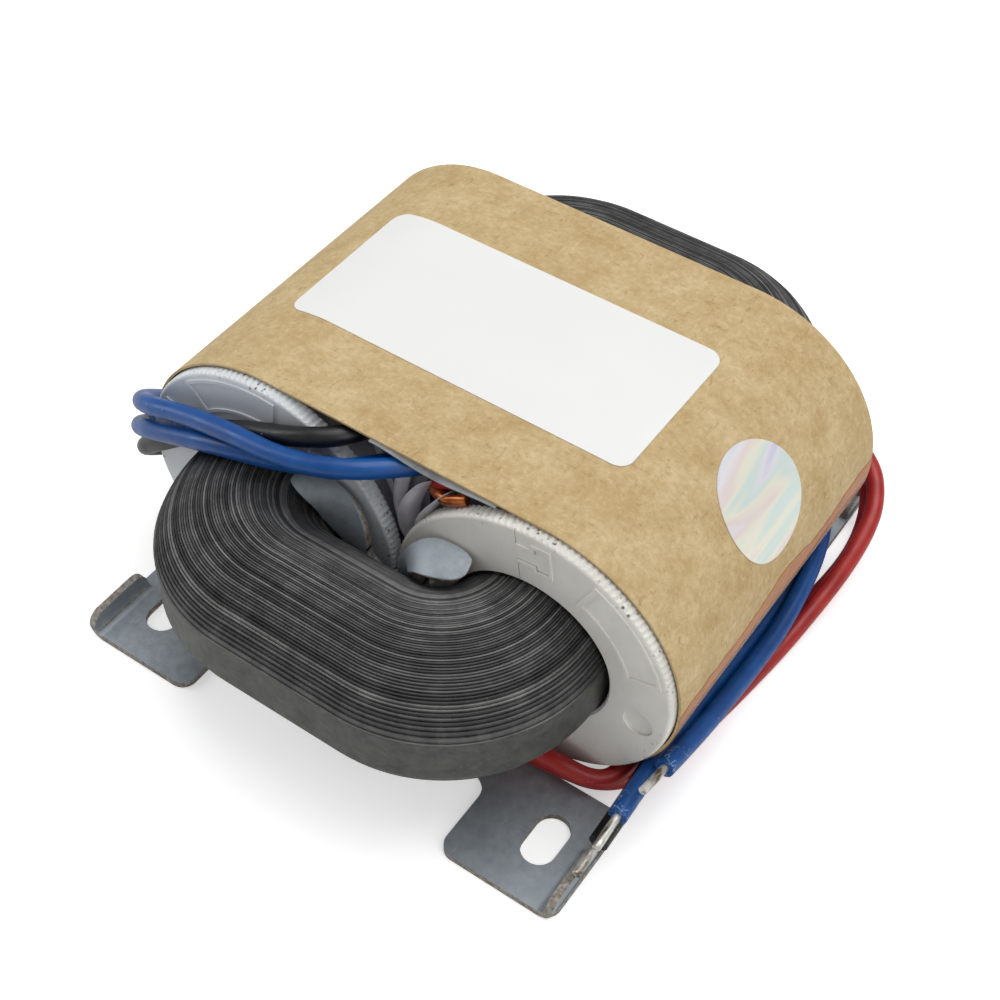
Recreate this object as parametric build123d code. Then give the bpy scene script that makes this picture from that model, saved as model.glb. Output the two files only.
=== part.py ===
from build123d import *
from math import cos, degrees, hypot, pi, radians, sin, sqrt, tan
import os

# R-core mains transformer on two sheet-metal feet brackets. Millimetres.
# X runs from coil to coil, Y along the coil axes with the front at -Y, Z up.
# The origin is on the mounting plane, midway between the four feet.

# Wound core: a strip coil with a near-round section, bent into a rounded rectangle.
leg_spacing = 39.0          # between the axes of the two legs
core_radius = 10.7          # radius of the round section
core_build = 20.4           # strip build-up, from the inner to the outer face
core_inner_corner = 3.5     # corner radius of the innermost turn
core_outer_corner = 21.0    # corner radius of the outermost turn
core_steps = 12             # steps of strip width on each side of the section's middle

# Bobbins: two identical snap-together halves on each leg.
bore_clearance = 0.35
bobbin_wall = 1.0
bobbin_length = 48.0        # over the flange faces
flange_thickness = 2.0
flange_gap = 0.3            # between the tooth tips of the two bobbins
tooth_depth = 0.22
tooth_pitch = 0.85
rim_round = 0.5             # rounding of the rim at the flange face
mouth_chamfer = 0.3         # lead-in of the bore at the flange face
split_gap = 0.1             # between the two halves
right_split_angle = 98.0    # direction of the pocket side of the split, X towards Z
left_split_angle = 164.0

# Snap tongues and the moulded marks on the flange faces.
tongue_inset = 3.7          # from the rim to the middle of the tongue
neck_width = 1.8
neck_length = 2.6
head_width = 3.2
head_length = 1.5
tongue_root = 0.6           # of the tongue inside its own half
pocket_clearance = 0.15
pocket_rail = 0.4           # width of the raised edge round the pocket
panel_inset = 0.9           # from the rim to the blank panel
panel_depth = 4.7           # of the panel, towards the bore
panel_angle = 122.4         # middle of the panel, from the tongue side of the half
panel_span = 47.5
panel_border = 0.45
panel_height = 0.2
dimple_radius = 2.0
dimple_angle = 71.0
dimple_depth = 0.3

# Windings, from the bobbin tube outwards.
layer_clearance = 0.05
primary_build = 2.5
interlayer_build = 0.2
coil_wrap_build = 0.3
coil_inset = 1.9            # from the flange rim to the outside of the coil
winding_end_clearance = 0.1

# Paper sleeve round both coils, with what lies on and under it.
card_thickness = 0.12
card_width = 29.0
card_overhang = 0.8         # of the card in front of the paper
sleeve_clearance = 0.2      # tooth tips to paper, filled by the card on top
paper_thickness = 0.3
paper_overhang = 0.3        # of the paper past each flange face, before its shift
paper_shift = 1.65          # of the paper's middle towards the rear
skin_clearance = 0.03       # glue line under tape and labels
tape_thickness = 0.08
tape_start_angle = -6.0
tape_end_angle = -62.0
label_thickness = 0.1
label_length = 48.2
label_width = 23.0
label_corner = 2.0
label_centre_x = -2.0
label_centre_y = 1.4
sticker_radius = 7.4
sticker_angle = 38.9
sticker_centre_y = 1.5

# Brackets: one stamping at each end, the rear one turned round.
sheet = 1.0
ground_clearance = 0.3      # under the paper sleeve
bracket_width = 72.8
foot_inner_x = 20.0
foot_length = 11.5          # of each foot in front of the upright tongue
slot_setback = 8.5          # from the front edge of the foot to the slot's middle
base_under_yoke = 5.1       # from the yoke's middle back to the face of the tongue at the base
base_clearance = 0.3        # paper sleeve or flange to the near edge of the base
foot_corner = 2.0
inner_corner = 3.0
lip_height = 3.8
lip_length = 10.0           # from the front edge of the foot
bend_radius = 1.2           # inside of each bend
bend_lead = 1.0             # flat length that each bent piece shares with the base
slot_width = 4.5
slot_length = 7.5
slot_spacing_x = 60.0
window_clearance = 0.15     # tongue to the innermost turn of the core
flange_clearance = 1.25     # tongue to the flange faces of the bobbins
cradle_angle = 45.0         # slope of the tongue under the yoke
tongue_base_half = 8.5
tongue_neck_half = 6.2
notch_half = 2.3            # half width of the U notch between the ears
notch_rise = 1.9            # lowest point of the notch above the coil axes

# Each ear is a lapel: it rises beside the notch, then folds outwards over the yoke.
# A row gives its inner edge, then its outer edge, each as how far it lies outside
# its place on the tongue, how far behind the tongue's face, and above the coil axes.
ear_rows = [
    (0.0, 0.0, 4.2, 0.0, 0.0, 4.2),
    (0.1, 0.3, 5.8, 0.4, -0.9, 5.8),
    (0.2, 0.6, 7.5, 0.4, -1.8, 7.4),
    (0.5, 1.0, 9.4, 0.6, -2.4, 8.9),
    (1.5, 1.4, 10.8, 1.4, -2.6, 9.7),
    (3.7, 1.7, 11.2, 3.0, -2.4, 10.2),
    (6.9, 1.7, 11.3, 5.0, -1.4, 10.8),
    (9.3, 1.0, 11.5, 6.3, -0.2, 11.7),
]

# Lead wires: stranded, with a stripped and tinned end.
wire_diameter = 2.5
strand_diameter = 1.1
strip_length = 5.0

tiny = 0.01                 # allowance when corners are picked by their place

# Values that follow from the sizes above.
leg_x = leg_spacing / 2
core_half_build = core_build / 2
bore_radius = core_radius + bore_clearance
tube_radius = bore_radius + bobbin_wall
flange_radius = leg_x - flange_gap / 2
flange_y = bobbin_length / 2
window_y = flange_y + flange_clearance + sheet
yoke_y = window_y + window_clearance + core_half_build
tongue_radius = flange_radius - tongue_inset
panel_outer_radius = flange_radius - panel_inset
panel_inner_radius = panel_outer_radius - panel_depth
paper_inner_radius = flange_radius + sleeve_clearance
paper_radius = paper_inner_radius + paper_thickness
axis_height = paper_radius + ground_clearance
top_z = axis_height + paper_radius
paper_width = bobbin_length + 2 * paper_overhang
paper_front_y = paper_shift - paper_width / 2
paper_rear_y = paper_shift + paper_width / 2
base_rear_y = max(paper_rear_y, flange_y) + base_clearance
base_front_y = yoke_y - base_under_yoke
foot_front_y = base_front_y + foot_length
slot_y = foot_front_y - slot_setback


def corner_radius(offset):
    """Corner radius of the turn that lies this far outside the middle turn."""
    share = (offset + core_half_build) / core_build
    return core_inner_corner + share * (core_outer_corner - core_inner_corner)


def turn_outline(offset):
    """Rounded rectangle of one turn, in plan."""
    width = 2 * (leg_x + offset)
    length = 2 * (yoke_y + offset)
    return RectangleRounded(width, length, corner_radius(offset))


def wound_core():
    """Stepped stack of strip widths, wound into one ring with a near-round section."""
    edges = [core_half_build * step / core_steps for step in range(1, core_steps + 1)]
    heights = [sqrt(core_radius**2 - edge**2) for edge in edges]
    ring = turn_outline(edges[-1]) - turn_outline(-edges[-1])
    core = Pos(0, 0, -heights[-1]) * extrude(ring, 2 * heights[-1])
    for step in range(core_steps - 2, -1, -1):
        rise = heights[step] - heights[step + 1]
        ring = turn_outline(edges[step]) - turn_outline(-edges[step])
        upper = Pos(0, 0, heights[step + 1]) * extrude(ring, rise)
        lower = Pos(0, 0, -heights[step]) * extrude(ring, rise)
        core = core + upper + lower
    return Pos(0, 0, axis_height) * core


def toothed_outline(radius):
    """Closed outline of a rim with fine V teeth, drawn in the XZ plane."""
    teeth = round(2 * pi * radius / tooth_pitch)
    points = []
    for index in range(2 * teeth):
        reach = radius if index % 2 else radius - tooth_depth
        angle = pi * index / teeth
        points.append((reach * cos(angle), reach * sin(angle)))
    return make_face(Polyline(*points, close=True))


def snap_shape(clearance):
    """T-shaped tongue that grows from the split line, or its pocket with a clearance."""
    neck_w = neck_width + 2 * clearance
    head_w = head_width + 2 * clearance
    reach = neck_length + head_length + clearance
    neck = Pos(0, (reach - tongue_root) / 2) * Rectangle(neck_w, reach + tongue_root)
    head_l = head_length + 2 * clearance
    head = Pos(0, reach - head_l / 2) * Rectangle(head_w, head_l)
    return neck + head


def sector(inner, outer, middle, span):
    """Flat ring sector between two radii, centred on an angle."""
    first = radians(middle - span / 2)
    last = radians(middle + span / 2)
    centre = radians(middle)
    inner_arc = ThreePointArc(
        (inner * cos(first), inner * sin(first)),
        (inner * cos(centre), inner * sin(centre)),
        (inner * cos(last), inner * sin(last)),
    )
    outer_arc = ThreePointArc(
        (outer * cos(first), outer * sin(first)),
        (outer * cos(centre), outer * sin(centre)),
        (outer * cos(last), outer * sin(last)),
    )
    side_a = Line(inner_arc @ 0, outer_arc @ 0)
    side_b = Line(inner_arc @ 1, outer_arc @ 1)
    return make_face([inner_arc, side_b, outer_arc, side_a])


def across(y_start, depth, sketch):
    """Extrude a sketch drawn in X and Z along +Y from y_start."""
    plane = Plane(origin=(0, y_start + depth, 0), x_dir=(1, 0, 0), z_dir=(0, -1, 0))
    return extrude(plane * sketch, depth)


def bobbin_half():
    """Half a bobbin above the split plane, with its axis along Y through the origin."""
    inner_y = flange_y - flange_thickness
    profile = Polyline(
        (bore_radius, -flange_y + mouth_chamfer),
        (bore_radius + mouth_chamfer, -flange_y),
        (flange_radius, -flange_y),
        (flange_radius, -inner_y),
        (tube_radius, -inner_y),
        (tube_radius, inner_y),
        (flange_radius, inner_y),
        (flange_radius, flange_y),
        (bore_radius + mouth_chamfer, flange_y),
        (bore_radius, flange_y - mouth_chamfer),
        close=True,
    )
    section = make_face(profile)
    rim_corners = [
        vertex
        for vertex in section.vertices()
        if vertex.X > flange_radius - tiny and abs(vertex.Y) > flange_y - tiny
    ]
    spool = revolve(fillet(rim_corners, rim_round), Axis.Y)
    rim = across(-flange_y, 2 * flange_y, toothed_outline(flange_radius))
    upper = Pos(0, split_gap / 2 + flange_radius) * Rectangle(2 * flange_radius, 2 * flange_radius)
    half = (spool & rim) & across(-flange_y, 2 * flange_y, upper)

    panel = sector(panel_inner_radius, panel_outer_radius, panel_angle, panel_span)
    border_angle = degrees(panel_border / panel_inner_radius)
    panel_inside = sector(
        panel_inner_radius + panel_border,
        panel_outer_radius - panel_border,
        panel_angle,
        panel_span - 2 * border_angle,
    )
    dimple = Pos(
        tongue_radius * cos(radians(dimple_angle)),
        tongue_radius * sin(radians(dimple_angle)),
    ) * Circle(dimple_radius)
    tongue = Pos(tongue_radius, 0) * Rot(0, 0, 180) * snap_shape(0)
    pocket = Pos(-tongue_radius, 0) * snap_shape(pocket_clearance)
    pocket_edge = Pos(-tongue_radius, 0) * snap_shape(pocket_clearance + pocket_rail)
    pocket_edge &= upper
    for face_y, inward in ((-flange_y, 1), (flange_y, -1)):
        flange_start = min(face_y, face_y + inward * flange_thickness)
        border_start = min(face_y, face_y - inward * panel_height)
        dimple_start = min(face_y, face_y + inward * dimple_depth)
        half += across(border_start, panel_height, panel - panel_inside)
        half += across(border_start, panel_height, pocket_edge - pocket)
        half -= across(dimple_start, dimple_depth, dimple)
        half -= across(flange_start, flange_thickness, pocket)
        half += across(flange_start, flange_thickness, tongue)
    return half


def coil_layer(inner, build):
    """Plain tube of wound wire or tape between the two flanges."""
    length = bobbin_length - 2 * flange_thickness - 2 * winding_end_clearance
    ring = Circle(inner + build) - Circle(inner)
    return across(-length / 2, length, ring)


def on_leg(side, shape):
    """Move a shape built round the Y axis onto the left (-1) or right (+1) leg."""
    return Pos(side * leg_x, 0, axis_height) * shape


def coil_layers():
    """Inner radius and build of each winding layer, from the tube outwards."""
    layers = {}
    radius = tube_radius + layer_clearance
    outside = flange_radius - coil_inset
    inner_layers = primary_build + interlayer_build + coil_wrap_build + 3 * layer_clearance
    secondary_build = outside - radius - inner_layers
    for name, build in (
        ("primary_winding", primary_build),
        ("interlayer_insulation", interlayer_build),
        ("secondary_winding", secondary_build),
        ("coil_wrap", coil_wrap_build),
    ):
        layers[name] = (radius, build)
        radius += build + layer_clearance
    return layers


def stadium(radius):
    """Outline round both coils at this distance from the coil axes, in X and Z."""
    return Pos(0, axis_height) * SlotCenterToCenter(leg_spacing, 2 * radius)


def sleeve_shell(inner, thickness, y_start, length):
    return across(y_start, length, stadium(inner + thickness) - stadium(inner))


def kraft_paper_wrap():
    return sleeve_shell(paper_inner_radius, paper_thickness, paper_front_y, paper_width)


def top_insulation_card():
    """Flat card that bridges the valley between the coils under the paper."""
    length = paper_width + card_overhang
    middle_y = paper_front_y - card_overhang + length / 2
    gap = sleeve_clearance - card_thickness
    middle_z = axis_height + flange_radius + gap / 2 + card_thickness / 2
    return Pos(0, middle_y, middle_z) * Box(card_width, length, card_thickness)


def skin(thickness):
    """Closed sheet just outside the paper, to be trimmed to a label or a tape."""
    return sleeve_shell(paper_radius + skin_clearance, thickness, paper_front_y, paper_width)


def seam_tape():
    """Clear tape over the paper's overlap, low on the right-hand side."""
    span = tape_start_angle - tape_end_angle
    middle = (tape_start_angle + tape_end_angle) / 2
    wedge = Pos(leg_x, axis_height) * sector(1, 2 * paper_radius, middle, span)
    return skin(tape_thickness) & across(paper_front_y, paper_width, wedge)


def rating_label():
    outline = RectangleRounded(label_length, label_width, label_corner)
    cutter = Pos(label_centre_x, label_centre_y, axis_height) * extrude(outline, top_z)
    return skin(label_thickness) & cutter


def inspection_sticker():
    """Round sticker on the right-hand shoulder of the sleeve."""
    turn = Rot(0, 90 - sticker_angle, 0)
    cutter = extrude(Circle(sticker_radius), 2 * paper_radius)
    place = Pos(leg_x, sticker_centre_y, axis_height)
    return skin(label_thickness) & (place * turn * cutter)


def bracket_base():
    """Flat base in plan: a cross bar and two feet that reach forwards."""
    half = bracket_width / 2
    bar_depth = base_front_y - base_rear_y
    bar = Pos(0, -(base_rear_y + base_front_y) / 2) * Rectangle(bracket_width, bar_depth)
    foot_depth = foot_front_y - base_rear_y
    foot_width = half - foot_inner_x
    outline = bar
    for side in (-1, 1):
        foot = Rectangle(foot_width, foot_depth)
        foot_place = Pos(side * (foot_inner_x + foot_width / 2), -(base_rear_y + foot_depth / 2))
        outline += foot_place * foot
    outline = fillet([v for v in outline.vertices() if v.Y < -foot_front_y + tiny], foot_corner)
    roots = [v for v in outline.vertices() if hypot(abs(v.X) - foot_inner_x, v.Y + base_front_y) < tiny]
    outline = fillet(roots, inner_corner)
    for side in (-1, 1):
        slot = SlotOverall(slot_length, slot_width, rotation=90)
        outline -= Pos(side * slot_spacing_x / 2, -slot_y) * slot
    return extrude(outline, sheet)


def bracket_lip(side):
    """Stiffening lip along the outer side of a foot, with its bend."""
    half = bracket_width / 2
    outer_bend = bend_radius + sheet
    path = FilletPolyline(
        (side * (half - outer_bend - bend_lead), 0),
        (side * half, 0),
        (side * half, lip_height),
        radius=outer_bend,
    )
    inner_path = FilletPolyline(
        (side * (half - outer_bend - bend_lead), sheet),
        (side * (half - sheet), sheet),
        (side * (half - sheet), lip_height),
        radius=bend_radius,
    )
    ends = [Line(path @ 0, inner_path @ 0), Line(path @ 1, inner_path @ 1)]
    section = make_face([path, inner_path] + ends)
    lip = across(-foot_front_y, lip_length, section)
    top_corners = [
        edge
        for edge in lip.edges().filter_by(Axis.X)
        if edge.center().Z > lip_height - tiny
    ]
    return fillet(top_corners, foot_corner)


def upright_tongue():
    """Tongue bent up from the base: under the yoke, then through the core window."""
    lean = radians(cradle_angle)
    hug = core_radius + window_clearance
    touch_y = -yoke_y + hug * sin(lean)
    touch_z = axis_height - hug * cos(lean)
    slope = tan(lean)
    knee_z = touch_z + (-window_y - touch_y) * slope
    foot_z = touch_z + (-base_front_y - touch_y) * slope
    top = axis_height + ear_rows[0][2]
    start_y = -base_front_y + bend_radius + sheet + bend_lead
    corners = [
        (start_y, 0.0),
        (-base_front_y, 0.0),
        (-base_front_y, foot_z),
        (-window_y, knee_z),
        (-window_y, top),
    ]
    shift = sheet * tan(lean / 2)
    inner_corners = [
        (start_y, sheet),
        (-base_front_y + sheet, sheet),
        (-base_front_y + sheet, foot_z - shift),
        (-window_y + sheet, knee_z - shift),
        (-window_y + sheet, top),
    ]
    outer_bend = bend_radius + sheet
    front = FilletPolyline(*corners, radius=[outer_bend, bend_radius, outer_bend])
    back = FilletPolyline(*inner_corners, radius=[bend_radius, outer_bend, bend_radius])
    ends = [Line(front @ 0, back @ 0), Line(front @ 1, back @ 1)]
    side_plane = Plane(origin=(-tongue_base_half, 0, 0), x_dir=(0, 1, 0), z_dir=(1, 0, 0))
    bent = extrude(side_plane * make_face([front, back] + ends), 2 * tongue_base_half)
    front_view = Polyline(
        (-tongue_base_half, 0),
        (tongue_base_half, 0),
        (tongue_base_half, foot_z),
        (tongue_neck_half, knee_z),
        (tongue_neck_half, top),
        (-tongue_neck_half, top),
        (-tongue_neck_half, knee_z),
        (-tongue_base_half, foot_z),
        close=True,
    )
    notch_bottom = axis_height + notch_rise
    notch = Pos(0, notch_bottom + notch_half) * Circle(notch_half)
    notch += Pos(0, notch_bottom + 2 * notch_half) * Rectangle(2 * notch_half, 2 * notch_half)
    outline = make_face(front_view) - notch
    return bent & across(-foot_front_y, foot_front_y, outline)


def ear_edges(row):
    """Inner and outer edge points of one row of the ear, on the face towards the yoke's side."""
    inner_x, inner_y, inner_z, outer_x, outer_y, outer_z = row
    inner = Vector(notch_half + inner_x, inner_y - window_y, axis_height + inner_z)
    outer = Vector(tongue_neck_half + outer_x, outer_y - window_y, axis_height + outer_z)
    return inner, outer


def ear_section(edges, heading):
    """Thin rectangle across the ear, one sheet thick, square to the heading."""
    inner, outer = edges
    normal = heading.cross(outer - inner).normalized() * sheet
    return make_face(Polyline(inner, outer, outer + normal, inner + normal, close=True))


def bracket_ear(side):
    """One ear, lofted through its rows."""
    edges = [ear_edges(row) for row in ear_rows]
    middles = [(inner + outer) * 0.5 for inner, outer in edges]
    headings = [Vector(0, 0, 1)]
    headings += [after - before for before, after in zip(middles, middles[2:])]
    headings += [middles[-1] - middles[-2]]
    ear = loft([ear_section(pair, heading) for pair, heading in zip(edges, headings)])
    return ear if side > 0 else mirror(ear, Plane.YZ)


def bracket():
    """The whole front stamping."""
    part = bracket_base() + upright_tongue()
    for side in (-1, 1):
        part += bracket_lip(side)
        part += bracket_ear(side)
    return part


def bend_radii(points):
    """Largest arc for each corner that leaves its two runs straight in the middle."""
    radii = []
    for before, corner, after in zip(points, points[1:], points[2:]):
        run_in = Vector(*corner) - Vector(*before)
        run_out = Vector(*after) - Vector(*corner)
        turn = radians(run_in.get_angle(run_out))
        radii.append(0.45 * min(run_in.length, run_out.length) / tan(turn / 2))
    return radii


def tube(points, diameter):
    """Plain round tube along straight runs joined by tangent arcs."""
    path = FilletPolyline(*points, radius=bend_radii(points))
    section = Plane(origin=path @ 0, z_dir=path % 0) * Circle(diameter / 2)
    return sweep(section, path=path), path.length


def bare_end(points):
    """Tinned strands that stick out of the last point of a lead."""
    last = Vector(*points[-1])
    heading = (last - Vector(*points[-2])).normalized()
    return extrude(Plane(origin=last, z_dir=heading) * Circle(strand_diameter / 2), strip_length)


# Each lead's route runs from the coil to its stripped end. Each pair of runs is joined by an arc.
lead_routes = {
    "blue_lead_1": [
        (5.5, -13.0, 35.5), (3.4, -18.0, 36.5), (0.0, -22.8, 37.4), (-5.0, -27.3, 37.8),
        (-12.5, -28.9, 36.6), (-20.8, -28.2, 35.2), (-28.8, -27.2, 32.6), (-36.6, -26.8, 29.6),
        (-41.0, -23.4, 25.5), (-42.0, -17.0, 19.5), (-41.5, -9.0, 13.4), (-40.2, 0.0, 8.4),
        (-38.6, 10.0, 5.8), (-36.8, 19.5, 5.4), (-34.0, 28.0, 5.2), (-28.6, 36.8, 4.8),
        (-19.8, 41.6, 3.9), (-8.0, 43.0, 3.0), (4.5, 43.0, 3.0), (16.0, 41.3, 3.6),
        (26.0, 38.6, 4.8), (32.4, 32.8, 5.3), (35.4, 26.0, 5.4), (37.2, 20.0, 5.6),
        (38.2, 13.8, 5.4), (38.8, 7.0, 5.0), (38.9, 0.0, 5.4), (39.0, -8.0, 6.8),
        (39.1, -15.6, 8.5), (38.8, -23.2, 10.3),
    ],
    "blue_lead_2": [
        (1.5, -12.0, 30.5), (0.0, -17.0, 33.5), (-2.8, -21.7, 35.5), (-6.0, -25.8, 35.8),
        (-11.0, -26.4, 34.2), (-16.6, -27.5, 32.9), (-23.0, -28.4, 31.9), (-30.0, -28.2, 29.2),
        (-37.0, -27.3, 25.5), (-41.4, -24.2, 21.3), (-41.0, -17.0, 15.5), (-39.6, -9.5, 10.0),
        (-37.6, -1.0, 5.6), (-35.9, 8.0, 3.1), (-35.3, 18.0, 2.5), (-33.9, 28.4, 2.5),
        (-26.6, 35.6, 2.5), (-16.5, 38.8, 2.5), (-4.5, 40.4, 2.5), (7.5, 40.3, 2.5),
        (18.2, 38.4, 2.5), (27.6, 35.2, 2.5), (34.0, 28.2, 2.7), (35.3, 18.8, 2.8),
        (35.6, 9.6, 3.3), (35.8, 0.8, 4.4), (36.3, -7.5, 5.9), (36.8, -15.4, 7.3),
        (36.8, -23.0, 7.8), (37.1, -30.6, 7.8),
    ],
    "black_lead": [
        (-5.5, -13.0, 35.5), (-6.4, -18.5, 36.9), (-7.8, -23.4, 38.2), (-12.2, -26.2, 37.9),
        (-19.8, -25.6, 34.0), (-27.5, -25.6, 29.5), (-34.6, -26.2, 23.8), (-40.8, -25.6, 18.3),
        (-40.4, -18.2, 12.8), (-37.5, -9.8, 7.8), (-34.8, -1.0, 4.0), (-33.0, 8.0, 2.2),
        (-32.2, 16.5, 1.9), (-31.4, 26.6, 2.5), (-25.4, 32.6, 2.5), (-15.0, 36.0, 2.5),
        (-4.0, 37.7, 2.5), (7.0, 37.5, 2.5), (17.0, 35.7, 2.5), (26.2, 32.4, 2.5),
        (31.4, 26.7, 2.4), (31.8, 17.4, 1.9), (32.1, 9.0, 1.8), (32.8, 0.5, 2.5),
        (34.0, -7.7, 4.2), (35.3, -16.0, 5.1), (36.3, -24.6, 5.2), (36.5, -33.5, 5.2),
    ],
    "red_lead_1": [
        (2.6, -20.0, 4.1), (6.8, -24.9, 3.0), (12.2, -27.0, 2.7), (18.8, -27.2, 2.6),
        (25.5, -27.0, 2.6), (31.9, -24.2, 1.4), (36.2, -17.4, 1.3), (38.1, -8.8, 1.3),
        (39.5, 0.0, 1.3), (40.2, 7.4, 1.9), (40.5, 13.4, 3.2), (40.7, 18.8, 3.9),
        (40.7, 24.3, 4.1), (40.4, 29.4, 4.7), (39.6, 33.4, 6.2), (37.2, 37.1, 8.1),
        (32.6, 40.6, 8.1), (26.6, 44.2, 6.6), (20.4, 47.2, 4.6), (13.6, 49.8, 2.4),
    ],
    "red_lead_2": [
        (-2.6, -20.0, 4.2), (3.0, -24.6, 5.3), (9.5, -27.2, 5.6), (17.0, -27.9, 5.5),
        (25.0, -28.0, 5.3), (32.4, -26.2, 3.4), (33.5, -20.6, 4.3), (33.0, -14.6, 1.9),
        (34.9, -7.2, 1.3), (36.7, 0.4, 1.3), (37.5, 8.0, 1.3), (38.7, 14.2, 1.3),
        (39.6, 20.4, 1.3), (39.9, 26.4, 1.4), (39.4, 31.4, 2.2), (38.3, 34.9, 4.2),
        (36.0, 38.0, 5.7), (30.8, 41.8, 5.0), (25.0, 45.0, 2.9), (19.0, 46.8, 1.5),
        (12.8, 47.4, 1.3),
    ],
}

os.makedirs("parts", exist_ok=True)

nodes = {
    "wound_core": wound_core(),
    "kraft_paper_wrap": kraft_paper_wrap(),
    "top_insulation_card": top_insulation_card(),
    "seam_tape": seam_tape(),
    "rating_label": rating_label(),
    "inspection_sticker": inspection_sticker(),
    "front_bracket": bracket(),
}
nodes["rear_bracket"] = Rot(0, 0, 180) * nodes["front_bracket"]

half = bobbin_half()
for prefix, side, split_angle in (("left", -1, left_split_angle), ("right", 1, right_split_angle)):
    for letter, half_turn in (("a", 0), ("b", 180)):
        turned = Rot(0, 180 - split_angle + half_turn, 0) * half
        nodes[f"{prefix}_bobbin_half_{letter}"] = on_leg(side, turned)
    for layer, (inner, build) in coil_layers().items():
        nodes[f"{prefix}_{layer}"] = on_leg(side, coil_layer(inner, build))

for name, points in lead_routes.items():
    lead, length = tube(points, wire_diameter)
    nodes[name] = lead
    nodes[name + "_strands"] = bare_end(points)
    expected = length * pi * wire_diameter**2 / 4
    print(name, "length", round(length, 1), "volume ratio", round(lead.volume / expected, 4))
    print("  bend radii", [round(radius, 1) for radius in bend_radii(points)])

for name, shape in nodes.items():
    export_step(shape, f"parts/{name}.step")
    print(name, len(shape.solids()), round(shape.volume, 1))
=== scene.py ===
import random
from math import cos, pi, radians, sin, sqrt

import bmesh
import bpy
from mathutils import Matrix, Vector, noise
from mathutils.bvhtree import BVHTree


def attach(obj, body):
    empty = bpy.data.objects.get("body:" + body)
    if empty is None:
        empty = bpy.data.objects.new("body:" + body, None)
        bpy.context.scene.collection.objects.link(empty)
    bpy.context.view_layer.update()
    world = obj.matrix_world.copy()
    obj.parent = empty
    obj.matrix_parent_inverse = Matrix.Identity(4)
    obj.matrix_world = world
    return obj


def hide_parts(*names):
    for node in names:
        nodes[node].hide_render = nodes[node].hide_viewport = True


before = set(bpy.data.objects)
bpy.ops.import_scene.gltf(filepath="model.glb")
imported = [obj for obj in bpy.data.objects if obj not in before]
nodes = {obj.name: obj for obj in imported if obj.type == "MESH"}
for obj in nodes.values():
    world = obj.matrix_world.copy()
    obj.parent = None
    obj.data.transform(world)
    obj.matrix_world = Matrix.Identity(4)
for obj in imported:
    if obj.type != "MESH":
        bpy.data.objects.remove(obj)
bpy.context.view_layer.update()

MM = 0.001

# Sizes shared with the CAD part, in millimetres.
leg_x = 19.5
yoke_y = 36.6
core_radius = 10.7
core_half_build = 10.2
core_inner_corner = 3.5
core_outer_corner = 21.0
axis_z = 20.15
flange_radius = 19.35
paper_inner = 19.55
paper_outer = 19.85
paper_front = -22.65
paper_back = 25.95
wire_diameter = 2.5


# ---------------------------------------------------------------- shader helpers

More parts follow.
